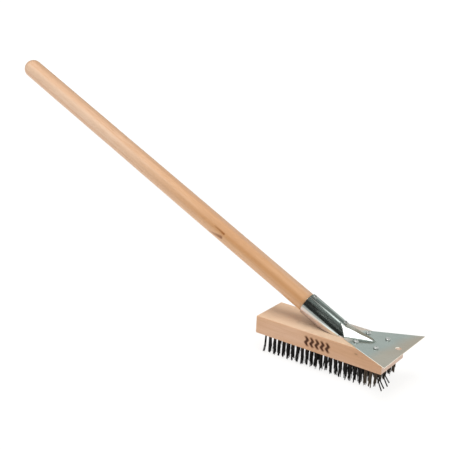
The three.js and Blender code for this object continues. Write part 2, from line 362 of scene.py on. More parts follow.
def material(name):
    """A new material, its graph, its shader and the stored millimetre position."""
    mat = bpy.data.materials.new(name)
    mat.use_nodes = True
    graph = Graph(mat.node_tree)
    shader = graph.node("BsdfPrincipled")
    graph.node("OutputMaterial", [shader.outputs[0]])
    return mat, graph, shader, graph.split(graph.attribute("grain_mm", "Vector"))


# ------------------------------------------------------------------ wood
def beech_figure(point):
    """The block's slow drift, growth rings, fibres and flecks, all drawn out along x."""
    x, y, z = point
    drift = grain(point, (0.008, 0.035, 0.05))
    # rings 4.3 mm apart round a centre at y = 52, z = -64
    ring = waves(length(y - 52, z + 64) + drift * 13 + x * 0.012, spacing=4.3).power(2.4)
    fibre = grain(point, (0.07, 2.4, 2.4), detail=4, rough=0.62)
    fleck = grain(point, (0.62, 3.6, 3.6), detail=1, rough=0.4).mask(off=0.66, on=0.74)
    return drift, ring, fibre, fleck


def beech_surface(graph, shader, x, figure, colour, rough):
    drift, ring, fibre, fleck = figure
    saw = (x * 2.1 + drift * 3).sin() * 0.12  # faint saw marks across the length
    height = fibre * 0.55 + ring * 0.25 - fleck * 0.5 + saw
    graph.feed(shader, {
        "Base Color": colour, "Roughness": rough, "Specular IOR Level": 0.32,
        "Normal": bump(height, distance=0.00016, strength=0.55),
    })


def mark_scorch(x, z):
    """Mask of the scorched edge round the burnt strokes."""
    centre = (z * (2 * math.pi / MARK_WAVE)).sin() * MARK_SWING
    count = (x - MARK_X0 - centre) / MARK_PITCH
    cell = (count + 0.5) - (count + 0.5).floor() - 0.5
    inside = count.mask(off=-0.5, on=-0.46) * count.mask(off=MARKS - 0.5, on=MARKS - 0.54)
    beside = cell.abs() * MARK_PITCH
    beyond = ((z - MARK_Z).abs() - (MARK_HALF - 1.4)).most(0)
    ragged = (grain((x, 0, z), (0.8, 0, 0.8), detail=3) - 0.5) * 1.1
    return (length(beside, beyond) + ragged).mask(off=4, on=1.7) * inside


def beech_oiled():
    mat, graph, shader, point = material("beech_oiled")
    x, y, z = point
    facing_x, _, facing_z = graph.geometry("Normal")
    end = facing_x.abs().mask(off=0.75, on=0.95)
    figure = beech_figure(point)
    _, ring, fibre, fleck = figure
    coarse = grain(point, (0.022, 0.42, 0.42), detail=3, rough=0.55)
    pores = grain(point, (0.3, 9, 9), detail=0).mask(off=0.68, on=0.76)
    blotch = grain(point, (0.013, 0.05, 0.06), shift=7)

    paint = Paint(blotch.mask(off=0.35, on=0.68), (0.76, 0.49, 0.326), (0.72, 0.438, 0.262))
    paint.layer(ring, (0.545, 0.3, 0.165), amount=0.14)
    paint.layer(coarse.mask(off=0.42, on=0.66), (0.56, 0.318, 0.18), amount=0.19)
    paint.layer(fibre.mask(off=0.45, on=0.75), (0.52, 0.29, 0.16), amount=0.22)
    paint.layer(fleck, (0.36, 0.185, 0.1), amount=0.3)
    paint.layer(pores * end, (0.33, 0.18, 0.105), amount=0.35)
    # sawn ends: paler and greyer
    paint.layer(end, (0.87, 0.68, 0.575), amount=0.7)
    # painted light: the top, which faces the overhead light, is painted paler and yellower than
    # the sides
    paint.layer(facing_z.mask(off=0.8, on=0.95), (0.87, 0.68, 0.5), amount=0.62)
    # the near face is painted a little redder and darker, as painted shade on the side away from
    # the overhead light, and darker still towards the front
    near = y.mask(off=-31.2, on=-31.5)
    paint.layer(near, (0.64, 0.34, 0.215), amount=0.1)
    paint.layer(near * x.mask(off=62, on=96), (0.51, 0.255, 0.12), amount=0.24)
    # a small dark spot on the near face: a dark eye in a halo, longer in x than in z
    dark_spot = length((x - 158) * 0.52 + (z - 5) * 0.12, z - 5)
    ragged = (grain(point, (0.9, 1, 0.9)) - 0.5) * 0.8
    eye = (dark_spot + ragged).mask(off=1.9, on=0.35) * near
    halo = dark_spot.mask(off=4.6, on=0.9) * near
    paint.layer(halo, (0.5, 0.27, 0.14), amount=0.2)
    paint.layer(eye, (0.25, 0.135, 0.06), amount=0.62)
    paint.layer(mark_scorch(x, z) * near, (0.235, 0.092, 0.036), amount=0.8)
    # painted shade: the strip of the top beyond the ridge is painted grey
    far_strip_shade = y.mask(off=13, on=18) * x.mask(off=88, on=104) * facing_z.mask(off=0.8, on=0.95)
    paint.layer(far_strip_shade, (0.56, 0.51, 0.455), amount=0.88)
    # patches darkened by handling
    wear = grain(point, (0.05, 0.12, 0.2), detail=4, rough=0.7)
    paint.layer(wear.mask(off=0.6, on=0.8), (0.47, 0.32, 0.215), amount=0.16)

    rough = fibre * 0.16 + 0.5 + fleck * 0.06
    beech_surface(graph, shader, x, figure, paint.colour, rough)
    return mat


def beech_burnt():
    mat, graph, shader, point = material("beech_burnt")
    figure = beech_figure(point)
    fibre = figure[2]
    char = grain(point, (0.9, 0.9, 1.6), detail=4, rough=0.65)
    paint = Paint(char.mask(off=0.38, on=0.7), (0.052, 0.019, 0.008), (0.155, 0.058, 0.022))
    paint.layer(fibre.mask(off=0.5, on=0.78), (0.02, 0.008, 0.004), amount=0.45)
    beech_surface(graph, shader, point[0], figure, paint.colour, rough=char * 0.2 + 0.62)
    return mat


# dark flecks in the handle: start (distance down the axis, degrees from the top line towards
# the near side), end (the same), half width at start and end, amount, colour
BARK_FLECKS = [
    ((-172.0, 63.5), (-153.5, 66.0), (1.1, 1.7), 0.90, (0.300, 0.088, 0.006)),
    ((-177.0, 119.0), (-155.0, 94.0), (1.7, 3.0), 0.92, (0.250, 0.075, 0.006)),
    ((-411.0, 17.0), (-399.0, 24.0), (0.6, 1.1), 0.45, (0.420, 0.190, 0.075)),
    ((-330.0, 100.0), (-318.0, 103.0), (0.5, 0.9), 0.40, (0.400, 0.190, 0.080)),
]


def bark_fleck(down, arc, fibre, start, end, half_widths):
    """Mask round a line on the handle's surface, fading on either side and towards its start."""
    (down0, angle0), (down1, angle1) = start, end
    arc0, arc1 = math.radians(angle0) * HANDLE_R, math.radians(angle1) * HANDLE_R
    run, rise = down1 - down0, arc1 - arc0
    part = (((down - down0) * run + (arc - arc0) * rise) / (run ** 2 + rise ** 2)).clamp()
    distance = length(down - down0 - part * run, arc - arc0 - part * rise)
    distance = distance + (fibre - 0.5) * 0.7
    half = part * (half_widths[1] - half_widths[0]) + half_widths[0]
    return (distance / half).mask(off=1.35, on=0.35) * (part * 0.65 + 0.35)


def ash_lacquered():
    mat, graph, shader, point = material("ash_lacquered")
    down, up, across = point  # in the handle's own frame
    theta = (across * -1).arctan2(up)  # from the top line towards the near side
    arc = theta * HANDLE_R
    drift = grain(point, (0.0035, 0.02, 0.02))
    # rings 3.1 mm apart round a centre outside the handle
    ring = waves(length(up + 27 + down * 0.01, across - 19) + drift * 16, spacing=3.1).power(1.8)
    wide = grain(point, (0.0042, 0.1, 0.1), shift=3)
    fibre = grain(point, (0.05, 2.6, 2.6), detail=4, rough=0.6)
    streak = grain(point, (0.011, 0.55, 0.55), detail=3, rough=0.55)
    pore = grain(point, (0.2, 5.2, 5.2), detail=1, rough=0.4).mask(off=0.66, on=0.75)

    # pale at the free end, warmer towards the socket
    lower = down.mask(off=-470, on=-120)
    pale = mix(wide.mask(off=0.36, on=0.66), (0.715, 0.462, 0.3), (0.668, 0.405, 0.236))
    warm = mix(wide.mask(off=0.36, on=0.66), (0.735, 0.43, 0.225), (0.65, 0.345, 0.16))
    paint = Paint(lower, pale, warm)
    paint.layer(ring, (0.53, 0.28, 0.13), amount=0.26)
    paint.layer(streak.mask(off=0.45, on=0.7), (0.56, 0.3, 0.145), amount=0.34)
    paint.layer(fibre.mask(off=0.48, on=0.78), (0.5, 0.27, 0.13), amount=0.2)
    paint.layer(pore, (0.33, 0.165, 0.075), amount=0.3)
    # near side: a pale painted sheen towards the free end, painted shade towards the socket
    degrees = theta * (180 / math.pi)
    sheen_band = degrees.mask(off=34, on=58) * degrees.mask(off=104, on=78) * (1 - lower)
    paint.layer(sheen_band * (streak * 0.8 + 0.55), (0.86, 0.69, 0.545), amount=0.42)
    near_shade = degrees.mask(off=44, on=64) * degrees.mask(off=98, on=80) * lower
    paint.layer(near_shade, (0.545, 0.25, 0.075), amount=0.34)
    # painted light and shade: the top line is painted paler towards the socket, and the top and
    # far side darker and greyer towards the free end
    paint.layer(degrees.mask(off=24, on=5) * lower, (0.7, 0.47, 0.34), amount=0.5)
    far_edge_shade = degrees.mask(off=22, on=-6) * (1 - lower * 0.6)
    paint.layer(far_edge_shade, (0.43, 0.27, 0.165), amount=0.3)
    mottle = grain(point, (0.03, 0.3, 0.3), detail=3, rough=0.6)
    paint.layer(mottle.mask(off=0.5, on=0.66), (0.6, 0.31, 0.14), amount=0.2)
    for start, end, half_widths, amount, colour in BARK_FLECKS:
        fleck = bark_fleck(down, arc, fibre, start, end, half_widths)
        paint.layer(fleck, colour, amount=amount)
    # end grain shows through the rounded end
    paint.layer(down.mask(off=-589, on=-602), (0.6, 0.345, 0.19), amount=0.45)
    # a darker, patchy grey line where the socket starts
    rim_line = down.mask(off=-6, on=0.5) * grain(point, (0.4, 0.2, 0.2), detail=3)
    paint.layer(rim_line, (0.24, 0.15, 0.08), amount=0.55)

    smear = grain(point, (0.02, 0.08, 0.08), detail=3, rough=0.6)
    relief = fibre * 0.6 + ring * 0.35 - pore * 0.7
    graph.feed(shader, {
        "Base Color": paint.colour, "Roughness": fibre * 0.14 + 0.4 + pore * 0.15,
        "Specular IOR Level": 0.45, "Coat Weight": 0.55, "Coat IOR": 1.48,
        "Coat Roughness": smear * 0.18 + 0.2,
        "Normal": bump(relief, distance=0.00012, strength=0.5),
        "Coat Normal": bump(fibre * 0.4 + smear * 0.8, distance=0.0001, strength=0.35),
    })
    return mat


# ------------------------------------------------------------------ steel
def crease_x(x, z):
    """x slid down to the height CREASE_Z along the crease's plane; CREASE_X on the plane."""
    return x + (z - CREASE_Z) * CREASE_LEAN


def socket_colours(paint, point, cloud):
    """Painted reflections and highlights round the socket, the same on both sides. Returns the
    mask of the bend it ends in.
    """
    x, y, z = point
    from_rim_x, from_rim_z = x - RIM[0], z - RIM[2]
    down = from_rim_x * AXIS[0] + from_rim_z * AXIS[2]
    up = from_rim_x * UP[0] + from_rim_z * UP[2]
    theta = y.abs().arctan2(up) * (180 / math.pi)  # degrees from the top line
    tube = (crease_x(x, z).mask(off=CREASE_X + 0.3, on=CREASE_X - 0.3)
            * length(up, y).mask(off=SOCKET_R - 1.2, on=SOCKET_R - 0.3))
    # dark band along the side: painted reflection of the dark room
    low = theta + (down - 30) * 0.16 + (down - 30).most(0) * 0.16
    dark_band_reflection = (theta + (cloud - 0.5) * 8).mask(off=31, on=44) * low.mask(off=89, on=82) * tube
    paint.layer(dark_band_reflection, (0.15, 0.16, 0.145), amount=0.7)
    # darker strip above it, fading away from the rim: painted reflection
    strip = down.mask(off=50, on=4) * theta.mask(off=12, on=17) * theta.mask(off=30, on=26)
    paint.layer(strip * tube, (0.11, 0.108, 0.094), amount=0.9)
    # nearly black streak within the band, by the rim: painted reflection
    black_streak_reflection = theta.mask(off=42, on=47) * theta.mask(off=60, on=54) * down.mask(off=30, on=16)
    paint.layer(black_streak_reflection * tube, (0.035, 0.034, 0.029), amount=0.9)
    # painted reflection of the wood and floor below: warm zone below the band, cooler at its foot
    warm = mix(down.mask(off=34, on=52), (0.64, 0.54, 0.465), (0.735, 0.69, 0.655))
    paint.layer(theta.mask(off=83, on=90) * tube, warm, amount=0.9)
    paint.layer(theta.mask(off=95, on=107) * tube, (0.69, 0.655, 0.7), amount=0.9)
    # painted highlight: bright patch low down by the crease
    crease_highlight = down.mask(off=48, on=58) * theta.mask(off=80, on=88) * tube
    paint.layer(crease_highlight, (0.93, 0.925, 0.91), amount=0.85)
    # painted reflection: darker top line
    dim_reflection = down.mask(off=18, on=34) * theta.mask(off=15, on=9) * tube
    paint.layer(dim_reflection, (0.56, 0.6, 0.57), amount=0.45)
    # painted highlight where the sheet turns into the crease, over a few millimetres, tightest low
    # down
    crease = crease_x(x, z)
    lead = (theta * -1 + 60).most(0)
    bend = (crease + lead * lead * 0.0032).mask(off=CREASE_X - 1.8, on=CREASE_X + 0.3)
    bend = bend * theta.mask(off=18, on=23) * theta.mask(off=66, on=58) * tube
    # a second painted highlight, low down by the crease
    low_highlight = length(down - 68.5, (theta - 79) * 0.3).mask(off=3.6, on=1.6) * tube
    paint.layer(low_highlight.most(bend), (0.999, 0.98, 0.95))
    return bend


def ridge_colours(paint, graph, point):
    """Paints reflections and highlights on the ridge; returns masks of its flanks, cap, foot and
    the dim part of the cap.
    """
    x, y, z = point
    ahead = crease_x(x, z).mask(off=CREASE_X - 0.2, on=CREASE_X + 0.1)
    outside = ahead * graph.geometry("Normal")[2].mask(off=0.02, on=0.15)
    raised = z.mask(off=BLADE_TOP + 0.45, on=BLADE_TOP + 0.85) * outside
    cap_half = ((x - CREASE_X) * -0.11 + 5.3).most(0.5)
    flank = raised * (y.abs() - cap_half).mask(off=-0.35, on=0.35)
    cap = raised * (1 - (y.abs() - cap_half).mask(off=-0.35, on=0.35))
    foot = (z.mask(off=BLADE_TOP + 0.85, on=BLADE_TOP + 0.45)
            * z.mask(off=BLADE_TOP + 0.005, on=BLADE_TOP + 0.05) * outside)
    nose = (x.mask(off=164, on=167.5)
            * z.mask(off=BLADE_TOP + 0.005, on=BLADE_TOP + 0.05) * outside)
    flank, cap = flank * (1 - nose), cap * (1 - nose)
    foot = foot.most(nose)
    # painted highlight on the flanks, painted reflection on the cap
    paint.layer(flank, (0.96, 0.985, 0.965), amount=0.7)
    paint.layer(cap, (0.86, 0.81, 0.72), amount=0.9)
    # painted reflection, matt: darker on the narrow part of the cap, teal-grey along the foot
    dim_reflection = x.mask(off=130, on=142) * cap
    paint.layer(dim_reflection, (0.29, 0.275, 0.215), amount=0.9)
    paint.layer(foot, (0.35, 0.415, 0.375), amount=0.9)
    return flank, cap, foot, dim_reflection


def pressed_normal(graph, y, normal, turned_out, lifted, level):
    """Leans a normal outward (flanks and bend), up and forward (cap), or straight up (foot)."""
    normal_x, normal_y, normal_z = graph.split(normal)
    towards = y.mask(off=-0.2, on=0.2, low=-1, high=1)
    rest = 1 - turned_out - lifted - level
    blend = combined(
        normal_x * rest + turned_out * 0.192 + lifted * 0.33,
        normal_y * rest + towards * turned_out * 0.701 + lifted * 0.1,
        normal_z * rest + turned_out * 0.686 + lifted * 0.94 + level,
    )
    return graph.node("VectorMath", [blend], operation="NORMALIZE").outputs[0]


def sheet_steel():
    mat, graph, shader, point = material("galvanised_sheet_fine")
    x, y, z = point
    vector = combined(x, y, z)
    cloud = graph.noise(vector, scale=0.035, detail=3, rough=0.55)
    fine = graph.noise(vector, scale=0.6, detail=4, rough=0.6)
    rolled = grain(point, (0.05, 2.8, 2.8), detail=3, rough=0.6)
    cells = graph.node("TexVoronoi", {"Vector": vector, "Scale": 0.16})
    spangle = Value(graph, cells.outputs["Distance"])

    paint = Paint(cloud.mask(off=0.35, on=0.68), (0.795, 0.88, 0.842), (0.745, 0.83, 0.792))
    paint.layer(spangle.mask(off=0.25, on=0.75), (0.69, 0.745, 0.72), amount=0.1)
    # heat and handling have browned the zinc towards the working edge
    brown = (x + (cloud - 0.5) * 18 + y * -0.16).mask(off=180, on=203)
    tan = mix(y.mask(off=0, on=-34), (0.905, 0.775, 0.64), (0.999, 0.9, 0.77))
    paint.layer(brown, tan, amount=0.88)
    # painted reflection at the blade's two rear corners
    corner_reflection = (length(x - 132, y.abs() - 18) + (cloud - 0.5) * 5).mask(off=14, on=4)
    corner_reflection = corner_reflection * z.mask(off=15.1, on=14.5)
    paint.layer(corner_reflection, (0.56, 0.5, 0.43), amount=0.8)
    bend = socket_colours(paint, point, cloud)
    flank, cap, foot, dim_reflection = ridge_colours(paint, graph, point)
    paint.layer(fine.mask(off=0.6, on=0.8), (0.56, 0.545, 0.51), amount=0.1)

    rough = rolled * 0.08 + cloud * 0.08 + 0.09 + fine.mask(off=0.62, on=0.82) * 0.08
    normal = bump(cloud, distance=0.0007, strength=0.3)
    relief = rolled * 0.4 + fine * 0.4 + spangle * 0.2
    normal = bump(relief, distance=0.00004, strength=0.3, normal=normal)
    # the press leaves the flanks and the cap a little crowned
    normal = pressed_normal(
        graph, y, normal,
        turned_out=flank * 0.85 + bend * 0.8, lifted=cap * 0.85, level=foot * 0.92,
    )
    graph.feed(shader, {
        "Base Color": paint.colour, "Metallic": 1 - corner_reflection.most(dim_reflection).most(foot) * 0.86,
        "Roughness": rough, "Normal": normal,
    })
    return mat


def screw_steel():
    mat, graph, shader, (x, y, z) = material("zinc_screw_fine")
    vector = combined(x, y, z)
    cloud = graph.noise(vector, scale=0.035, detail=3, rough=0.55)
    fine = graph.noise(vector, scale=0.6, detail=4, rough=0.6)
    facing_x, facing_y, _ = graph.geometry("Normal")
    paint = Paint(fine.mask(off=0.35, on=0.7), (0.9, 0.92, 0.9), (0.8, 0.825, 0.81))
    paint.layer(cloud.mask(off=0.55, on=0.75), (0.6, 0.55, 0.47), amount=0.15)
    # painted shade on the side away from the scraper's edge
    away = (facing_x * -0.8 + facing_y * -0.6).mask(off=0.3, on=0.7)
    paint.layer(away, (0.07, 0.075, 0.065), amount=0.75)
    # the two on the socket are duller than those on the blade
    paint.layer(z.mask(off=19, on=21), (0.27, 0.28, 0.255), amount=0.6)
    graph.feed(shader, {
        "Base Color": paint.colour, "Metallic": 0.55, "Roughness": fine * 0.14 + 0.14,
        "Normal": bump(fine, distance=0.00006, strength=0.4),
    })
    return mat


def wire_steel():
    mat, graph, shader, point = material("spring_wire_dark")
    x, _, z = point
    own = Value(graph, graph.attribute("own", "Fac"))  # each wire's own tone
    scale = grain(point, (0.9, 0.9, 0.16), detail=3, rough=0.6)
    paint = Paint(own.mask(off=0.3, on=0.95), (0.0095, 0.0085, 0.008), (0.03, 0.0235, 0.019))
    rust = scale.mask(off=0.52, on=0.74) * own.mask(off=0.1, on=0.9)
    paint.layer(rust, (0.105, 0.066, 0.043), amount=0.55)
    # the cut ends are brighter
    paint.layer(z.mask(off=-37.2, on=-39.8), (0.12, 0.112, 0.105), amount=0.4)
    # the front rows are lighter
    front = x.mask(off=163, on=172) * x.mask(off=191, on=185)
    paint.layer((front * (scale * 0.9 + 0.3)).clamp(), (0.118, 0.092, 0.066))
    # painted shade at the roots under the block, browner in the front rows
    root_shade = mix(front, (0.04, 0.017, 0.009), (0.15, 0.072, 0.042))
    paint.layer(z.mask(off=-20, on=-13.5), root_shade, amount=0.65)
    graph.feed(shader, {
        "Base Color": paint.colour, "Metallic": 0.55, "Specular IOR Level": 0.3,
        "Roughness": scale * 0.25 + 0.36,
        "Normal": bump(scale, distance=0.00006, strength=0.4),
    })
    return mat


BEECH = beech_oiled()
BURNT = beech_burnt()
ASH = ash_lacquered()
SHEET_STEEL = sheet_steel()
SCREW_STEEL = screw_steel()
WIRE = wire_steel()


# ------------------------------------------------------------------ block
def row_x(row):
    return ROW_X0 + row * ROW_PITCH


def tuft_y(tuft):
    return (tuft - (TUFTS - 1) / 2) * TUFT_PITCH


def socket_groove():
    """Cutter for the inclined groove that the socket lies in."""
    clearance = 0.35
    shell = rod(SOCKET_R + clearance, -70, 95, RIM, AXIS, ACROSS, segments=128)
    groove = solid("cutter", shell, BEECH)
    boolean(groove, box((CREASE_X + 0.4, 300), (-80, 80), (-150, 150)))
    boolean(groove, box((-200, 400), (-80, 80), (-200, 0.65)))
    only_material(groove, BEECH)
    return groove


def mark_shell(index):
    """One burnt stroke, sunk into the near side."""
    depth, stations = 0.45, 25
    near_y = -BLOCK_WIDTH / 2
    left, right = [], []
    for i in range(stations):
        t = i / (stations - 1)
        z = MARK_Z - MARK_HALF + 2 * MARK_HALF * t
        half = MARK_R * (1 - abs(2 * t - 1) ** 3.2) ** 0.5 + 0.06
        swing = MARK_SWING * math.sin(2 * math.pi * (z - MARK_Z) / MARK_WAVE)
        centre = MARK_X0 + index * MARK_PITCH + swing
        left.append((centre - half, z))
        right.append((centre + half, z))
    return prism(
        left + right[::-1],
        lambda point: (point[0], near_y - 2, point[1]),
        lambda point: (point[0], near_y + depth, point[1]),
    )


def build_block():
    bm = bmesh.new()
    bmesh.ops.create_cube(bm, size=1.0)
    for vert in bm.verts:
        x, y, z = vert.co
        vert.co = Vector(((x + 0.5) * BLOCK_LENGTH, y * BLOCK_WIDTH, z * (TOP - BOTTOM)))
    bmesh.ops.bevel(bm, geom=list(bm.edges), offset=1.7, segments=5, profile=0.5,
                    affect="EDGES", clamp_overlap=True)
    block = make("brush_block_wood", ([], []), BEECH, BURNT)
    bm.to_mesh(block.data)
    bm.free()

    boolean(block, socket_groove())
    holes = [
        upright_hole(row_x(row), tuft_y(tuft), BOTTOM - 3, BOTTOM + 11, 2.6, segments=20)
        for row in range(ROWS) for tuft in range(TUFTS)
    ]
    holes += [
        upright_hole(x, y, TOP - 13, TOP + 3, 1.95, segments=20) for x, y, *_ in PLATE_SCREWS
    ]
    boolean(block, solid("cutter", joined(holes), BEECH))
    marks = joined([mark_shell(index) for index in range(MARKS)])
    boolean(block, solid("cutter", marks, BURNT))
    finish(block, angle=30)
    place(block, "brush_block")


# ------------------------------------------------------------------ handle
def handle_local(points):
    """Positions as distance down the axis, up and across."""
    offset = points - RIM
    return np.stack([offset @ AXIS, offset @ UP, offset @ ACROSS], 1)


def handle_profile():
    """(distance down the axis, radius), from the half-round free end to the inner end."""
    round_steps, straight_steps = 18, 90
    profile = [(-HANDLE_OUT, 0.0)]
    for i in range(1, round_steps + 1):
        angle = i / round_steps * math.pi / 2
        down = -HANDLE_OUT + HANDLE_R * (1 - math.cos(angle))
        profile.append((down, HANDLE_R * math.sin(angle)))
    for i in range(1, straight_steps + 1):
        run = HANDLE_OUT - HANDLE_R + HANDLE_IN - 1.0
        down = -HANDLE_OUT + HANDLE_R + run * i / straight_steps
        # a turned dowel wanders about a tenth of a millimetre along its length
        wander = 0.0
        if down < -15:
            wander = 0.07 * math.sin(down * 0.021) + 0.05 * math.sin(down * 0.057 + 1.0)
        profile.append((down, HANDLE_R + min(0.0, wander - 0.05)))
    profile += [(HANDLE_IN - 0.3, HANDLE_R - 0.5), (HANDLE_IN, HANDLE_R - 1.0), (HANDLE_IN, 0.0)]
    return profile


def build_handle():
    shell = turned(handle_profile(), RIM, AXIS, UP, segments=96)
    handle = solid("handle_wood", shell, ASH)
    # the inner end is cut level, just above the groove's floor
    boolean(handle, box((40, 260), (-60, 60), (-120, 1.3)))
    for _, down, _ in SOCKET_SCREWS:
        hole = rod(1.8, HANDLE_R - 12, HANDLE_R + 4, RIM + AXIS * down, UP, AXIS, segments=20)
        boolean(handle, solid("cutter", hole, ASH))
    finish(handle, angle=40, local=handle_local)
    place(handle, "handle")


# ------------------------------------------------------------------ scraper with its socket
# the ridge narrows forward from the crease, faster past RIDGE_TURN_X, and ends at RIDGE_END_X
RIDGE_TURN_X, RIDGE_END_X = 150.0, 169.5
RIDGE_HEIGHT, RIDGE_HALF, RIDGE_TAPER = 11.3, 15.8, 0.3955
FLANK_SLOPE = 1.12  # least slope of the flanks
EDGE = 0.22  # chamfer round the blade
BLADE_END = 212.0
# the blade's outline: x, half width
OUTLINE = [(127.0, 14.75), (130.0, 15.7), (131.4, 18.45), (BLADE_END, 59.2)]


def soft_max(first, second, soft):
    return (first + second + math.hypot(first - second, soft)) / 2


def soft_min(first, second, soft):
    return (first + second - math.hypot(first - second, soft)) / 2


def ridge_half(x):
    """Half width of the ridge at its foot."""
    if x < RIDGE_TURN_X:
        return RIDGE_HALF - RIDGE_TAPER * (x - CREASE_X)
    at_turn = RIDGE_HALF - RIDGE_TAPER * (RIDGE_TURN_X - CREASE_X)
    left = (RIDGE_END_X - x) / (RIDGE_END_X - RIDGE_TURN_X)
    return at_turn * max(0.0, left) ** 0.85


def ridge_height(x, y):
    """Height of the sheet's upper face above the flat blade's.

    Two flat flanks under a gently rounded cap.
    """
    if x < RIDGE_END_X:
        half = max(0.9, ridge_half(x))
        if x < CREASE_X:
            crown = RIDGE_HEIGHT + (CREASE_X - x) * 0.46
        else:
            crown = RIDGE_HEIGHT * math.sqrt((RIDGE_END_X - x) / (RIDGE_END_X - CREASE_X))
        cap = crown - 0.035 * y * y
        slope = soft_max(FLANK_SLOPE, 1.04 * crown / half, soft=0.25) - 0.05
        height = soft_min(cap, (half - abs(y)) * slope, soft=min(1.0, 0.3 * crown))
    else:
        height = -0.9 * (x - RIDGE_END_X) - 0.8 * abs(y)
    # a soft bend where the ridge rises from the blade
    return soft_max(max(height, -6.0), 0.0, soft=0.35)


def half_width(x):
    for (x0, half0), (x1, half1) in zip(OUTLINE, OUTLINE[1:]):
        if x < x1:
            break
    return half0 + (half1 - half0) * (x - x0) / (x1 - x0)


def sheet_top():
    """Points of the sheet's upper face, and their indices row by row in x."""
    side_steps, ridge_steps = 9, 34
    stations = [*np.arange(122.0, 130.0, 0.8), 130.0, 130.35, 130.7, 131.05, 131.4]
    stations += list(np.arange(132.2, 170.5, 0.95))
    stations += [171.5, 173.0, 175.5, 179.0, 184.0, 190.0, 197.0, 204.0, BLADE_END - EDGE]
    points, rows = [], []
    for x in stations:
        outer = half_width(x) - EDGE
        inner = min(max(1.1, ridge_half(x)) * 1.12 + 1.5, outer - 0.4)
        side = outer - inner
        ys = [-outer + side * j / side_steps for j in range(side_steps)]
        ys += [-inner + 2 * inner * j / ridge_steps for j in range(ridge_steps + 1)]
        ys += [inner + side * (j + 1) / side_steps for j in range(side_steps)]
        rows.append(list(range(len(points), len(points) + len(ys))))
        points += [np.array([x, y, BLADE_TOP + ridge_height(x, y)]) for y in ys]
    return points, rows


def underside(point):
    """The point one sheet thickness below, square to the upper face."""
    x, y, _ = point
    step, steepest = 0.05, 2.2
    slope_x = (ridge_height(x + step, y) - ridge_height(x - step, y)) / (2 * step)
    slope_y = (ridge_height(x, y + step) - ridge_height(x, y - step)) / (2 * step)
    slope = math.hypot(slope_x, slope_y)
    if slope > steepest:
        slope_x, slope_y = slope_x * steepest / slope, slope_y * steepest / slope
    normal = np.array([-slope_x, -slope_y, 1.0])
    normal /= np.linalg.norm(normal)
    below = point - SHEET * normal
    below[2] = min(below[2], point[2] - SHEET * 0.9)
    return below


def rim_offset(before, here, after):
    """Mitre outward at a point of the outline, by EDGE."""
    squares = []
    for start, end in ((before, here), (here, after)):
        run = end - start
        squares.append(np.array([run[1], -run[0]]) / max(np.linalg.norm(run), 1e-9))
    mitre = squares[0] + squares[1]
    mitre = mitre / max(np.linalg.norm(mitre), 1e-9)
    return mitre / max(0.6, float(mitre @ squares[0])) * EDGE


def build_sheet():
    top, rows = sheet_top()
    bottom = [underside(point) for point in top]
    n = len(top)
    verts = top + bottom
    faces = []
    for row, after in zip(rows, rows[1:]):
        for j in range(len(row) - 1):
            faces.append((row[j], after[j], after[j + 1], row[j + 1]))
            faces.append((row[j] + n, row[j + 1] + n, after[j + 1] + n, after[j] + n))
    # the chamfered rim
    loop = [row[0] for row in rows] + rows[-1][1:]
    loop += [row[-1] for row in rows[-2::-1]] + rows[0][-2:0:-1]
    count = len(loop)
    upper, lower = [], []
    for i, index in enumerate(loop):
        here = top[index][:2]
        x, y = here + rim_offset(top[loop[i - 1]][:2], here, top[loop[(i + 1) % count]][:2])
        upper.append(len(verts))
        verts.append(np.array([x, y, top[index][2] - EDGE]))
        lower.append(len(verts))
        verts.append(np.array([x, y, bottom[index][2] + EDGE]))
    for i in range(count):
        j = (i + 1) % count
        faces.append((loop[i], loop[j], upper[j], upper[i]))
        faces.append((upper[i], upper[j], lower[j], lower[i]))
        faces.append((lower[i], lower[j], loop[j] + n, loop[i] + n))
    return solid("scraper_socket_sheet", (verts, faces), SHEET_STEEL)


def crease_box(ahead, shift=0.0):
    """Everything ahead of or behind the crease's plane, shifted along its normal."""
    normal = np.array([1.0, 0.0, CREASE_LEAN]) / math.hypot(1.0, CREASE_LEAN)
    rise = np.array([-normal[2], 0.0, normal[0]])
    origin = np.array([CREASE_X, 0.0, CREASE_Z])
    start, end = (shift, 200.0) if ahead else (-200.0, shift)
    outline = [(start, -160.0), (end, -160.0), (end, 160.0), (start, 160.0)]

    def at_y(y):
        return lambda point: origin + normal * point[0] + rise * point[1] + ACROSS * y

    return solid("cutter", prism(outline, at_y(-80.0), at_y(80.0)))


def build_tube():
    """The rolled socket, open by a narrow gap along its underside."""
    lip = 0.35  # rounding at the rim
    outer = [(0.0, SOCKET_R - lip), (0.04, SOCKET_R - 0.17), (0.13, SOCKET_R - 0.05)]
    outer += [(down, SOCKET_R) for down in (lip, 30, 60, 90)]
    inner = [(down, SOCKET_BORE) for down in (90, 60, 30, lip)]
    inner += [(0.13, SOCKET_BORE + 0.05), (0.04, SOCKET_BORE + 0.17), (0.0, SOCKET_BORE + lip)]
    section = outer + inner  # distance down the axis, radius
    half_gap, steps = math.degrees(0.7 / SOCKET_R), 160
    verts, faces, count = [], [], len(section)
    for i in range(steps + 1):
        theta = math.radians(-180 + half_gap + (360 - 2 * half_gap) * i / steps)
        spoke = math.cos(theta) * UP - math.sin(theta) * ACROSS
        verts += [RIM + AXIS * down + radius * spoke for down, radius in section]
    for i in range(steps):
        this, after = i * count, (i + 1) * count
        for j in range(count):
            k = (j + 1) % count
            faces.append((this + j, this + k, after + k, after + j))
    faces += [tuple(range(count)), tuple(range((steps + 1) * count - 1, steps * count - 1, -1))]
    tube = solid("tube", (verts, faces), SHEET_STEEL)
    boolean(tube, crease_box(ahead=True))
    boolean(tube, box((-200, 400), (-80, 80), (-200, 1.0)))
    boolean(tube, box((CREASE_X, 300), (-80, 80), (-150, TOP)))
    return tube


